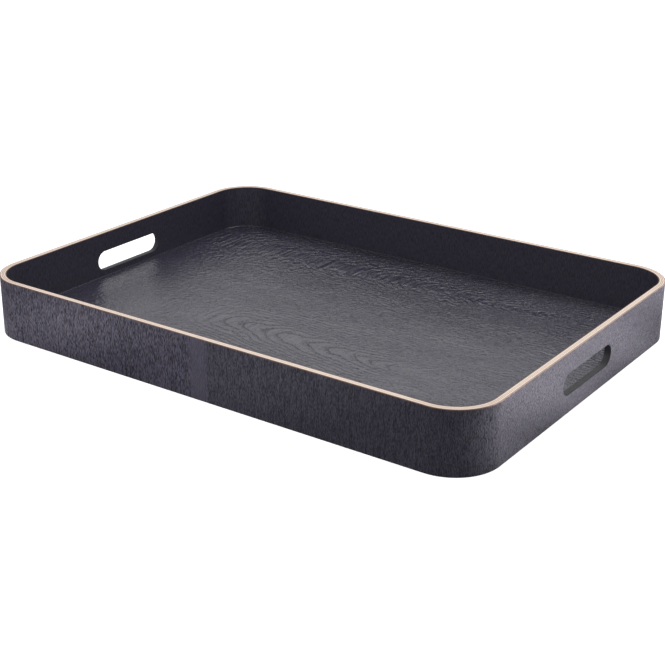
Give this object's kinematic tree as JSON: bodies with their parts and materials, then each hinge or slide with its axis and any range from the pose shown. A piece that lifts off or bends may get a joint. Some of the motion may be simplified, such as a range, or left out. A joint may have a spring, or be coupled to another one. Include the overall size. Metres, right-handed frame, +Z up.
{
  "type": "butler tray",
  "caption": "Rectangular butler tray with a low bent plywood rim, rounded corners, a hand slot through each short side and a flat veneered base.",
  "frame": {"origin": "on the floor under the middle of the tray", "axes": "+X along the long sides, towards a short side with a hand slot; +Z up; the tray maps onto itself when it is turned by half a turn about Z"},
  "size_m": [0.52, 0.38, 0.056],
  "materials": {
    "rim_veneer": "black stained open-pored veneer, satin; oak or ash by its grain",
    "rim_core": "pale unstained plies, smooth edge; birch is a guess",
    "base_veneer": "black stained crown-cut veneer, satin; oak or ash by its grain",
    "base_core": "raw fibreboard, hidden between the veneers; a guess"
  },
  "bodies": {
    "root": {"rim_left_outer_veneer": "rim_veneer", "rim_left_outer_ply": "rim_core", "rim_left_middle_ply": "rim_core", "rim_left_inner_ply": "rim_core", "rim_left_inner_veneer": "rim_veneer", "rim_left_skirt_veneer": "rim_veneer", "rim_right_outer_veneer": "rim_veneer", "rim_right_outer_ply": "rim_core", "rim_right_middle_ply": "rim_core", "rim_right_inner_ply": "rim_core", "rim_right_inner_veneer": "rim_veneer", "rim_right_skirt_veneer": "rim_veneer", "base_bottom_veneer": "base_veneer", "base_core": "base_core", "base_top_veneer": "base_veneer"}
  },
  "joints": []
}
